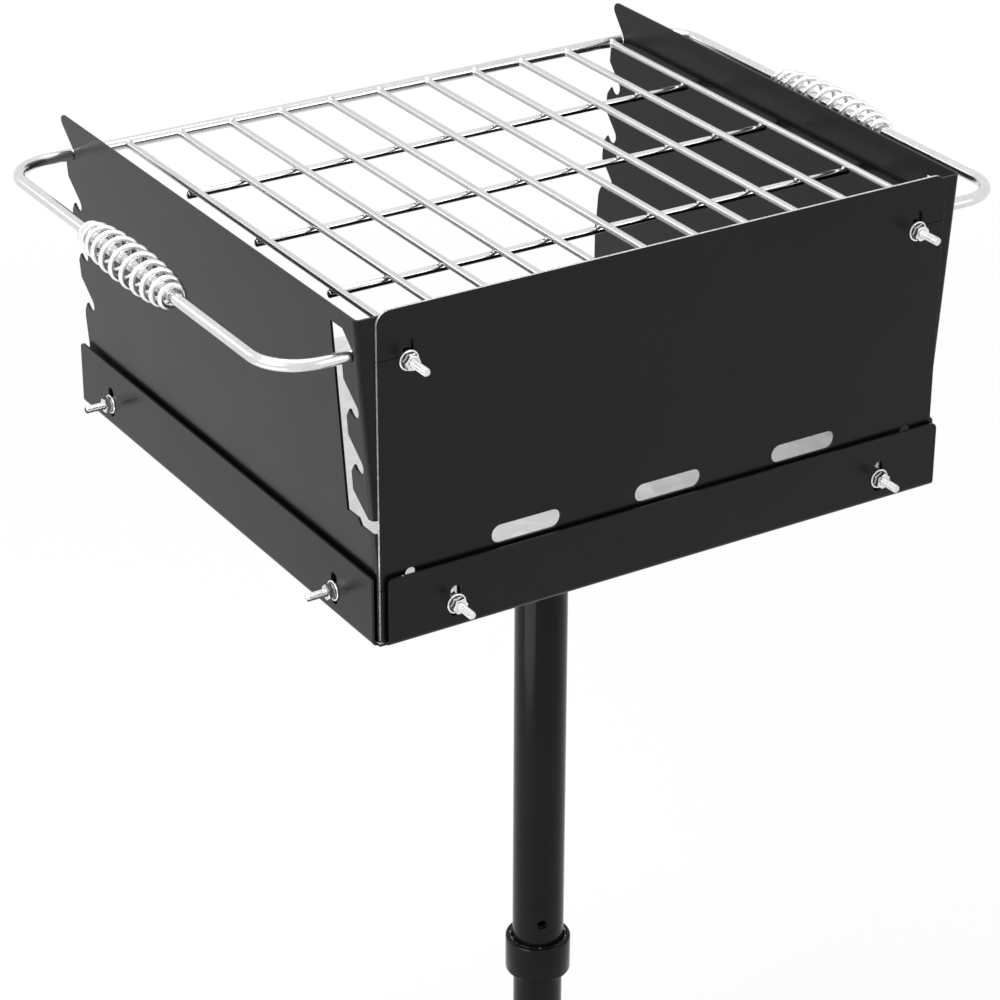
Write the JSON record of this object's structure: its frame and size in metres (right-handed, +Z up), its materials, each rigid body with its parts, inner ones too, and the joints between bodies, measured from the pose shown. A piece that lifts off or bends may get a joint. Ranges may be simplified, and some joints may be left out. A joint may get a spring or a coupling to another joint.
{
  "type": "park bbq grill pedestal",
  "caption": "Charcoal grill on a swivelling post: folded steel fire box with toothed side walls and a hooked grate with coil grip handles.",
  "frame": {"origin": "on the post's axis at the underside of the base plate, where it stands on the ground", "axes": "+Z up; -Y towards the cook, at the fire box's open front; +Y at the vented rear panel; +X to the cook's right"},
  "size_m": [0.6776, 0.515, 1.0325],
  "materials": {
    "sheet_black": "satin black heat-proof coat",
    "post_black": "gloss black coat",
    "stainless": "bright drawn rod",
    "zinc_plate": "bright zinc plate",
    "plain_steel": "plain steel, hidden inside the post"
  },
  "bodies": {
    "base": {"base_plate": "post_black", "lower_post": "post_black", "spigot_tube": "plain_steel"},
    "head": {"swivel_collar": "post_black", "upper_post": "post_black", "post_flange": "post_black", "tray": "sheet_black", "left_wall": "sheet_black", "right_wall": "sheet_black", "rear_panel": "sheet_black", "rear_upper_left_bolt": "zinc_plate", "rear_upper_left_washer": "zinc_plate", "rear_upper_left_nut": "zinc_plate", "rear_upper_right_bolt": "zinc_plate", "rear_upper_right_washer": "zinc_plate", "rear_upper_right_nut": "zinc_plate", "rear_lower_left_bolt": "zinc_plate", "rear_lower_left_washer": "zinc_plate", "rear_lower_left_nut": "zinc_plate", "rear_lower_right_bolt": "zinc_plate", "rear_lower_right_washer": "zinc_plate", "rear_lower_right_nut": "zinc_plate", "left_front_bolt": "zinc_plate", "left_front_washer": "zinc_plate", "left_front_nut": "zinc_plate", "left_rear_bolt": "zinc_plate", "left_rear_washer": "zinc_plate", "left_rear_nut": "zinc_plate", "right_front_bolt": "zinc_plate", "right_front_washer": "zinc_plate", "right_front_nut": "zinc_plate", "right_rear_bolt": "zinc_plate", "right_rear_washer": "zinc_plate", "right_rear_nut": "zinc_plate", "post_bolt_1": "zinc_plate", "post_nut_1": "zinc_plate", "post_bolt_2": "zinc_plate", "post_nut_2": "zinc_plate", "post_bolt_3": "zinc_plate", "post_nut_3": "zinc_plate", "post_bolt_4": "zinc_plate", "post_nut_4": "zinc_plate"},
    "grate": {"grate_loop": "stainless", "grate_bar_01": "stainless", "grate_bar_02": "stainless", "grate_bar_03": "stainless", "grate_bar_04": "stainless", "grate_bar_05": "stainless", "grate_bar_06": "stainless", "grate_bar_07": "stainless", "grate_bar_08": "stainless", "grate_bar_09": "stainless", "grate_bar_10": "stainless", "grate_bar_11": "stainless", "cross_rod_1": "stainless", "cross_rod_2": "stainless", "cross_rod_3": "stainless"},
    "left_grip": {"left_grip_coil": "stainless"},
    "right_grip": {"right_grip_coil": "stainless"}
  },
  "joints": [
    {"name": "post_swivel", "type": "hinge", "parent": "base", "child": "head", "pos_m": [0, 0, 0.3105], "axis": [0, 0, 1], "continuous": true},
    {"name": "grate_unhook", "type": "slide", "parent": "head", "child": "grate", "axis": [0, -0.682, 0.7314], "range_m": [0, 0.017]},
    {"name": "left_grip_spin", "type": "hinge", "parent": "grate", "child": "left_grip", "pos_m": [-0.322, -0.0645, 0.9975], "axis": [0, 1, 0], "continuous": true},
    {"name": "right_grip_spin", "type": "hinge", "parent": "grate", "child": "right_grip", "pos_m": [0.322, -0.0645, 0.9975], "axis": [0, 1, 0], "continuous": true}
  ]
}
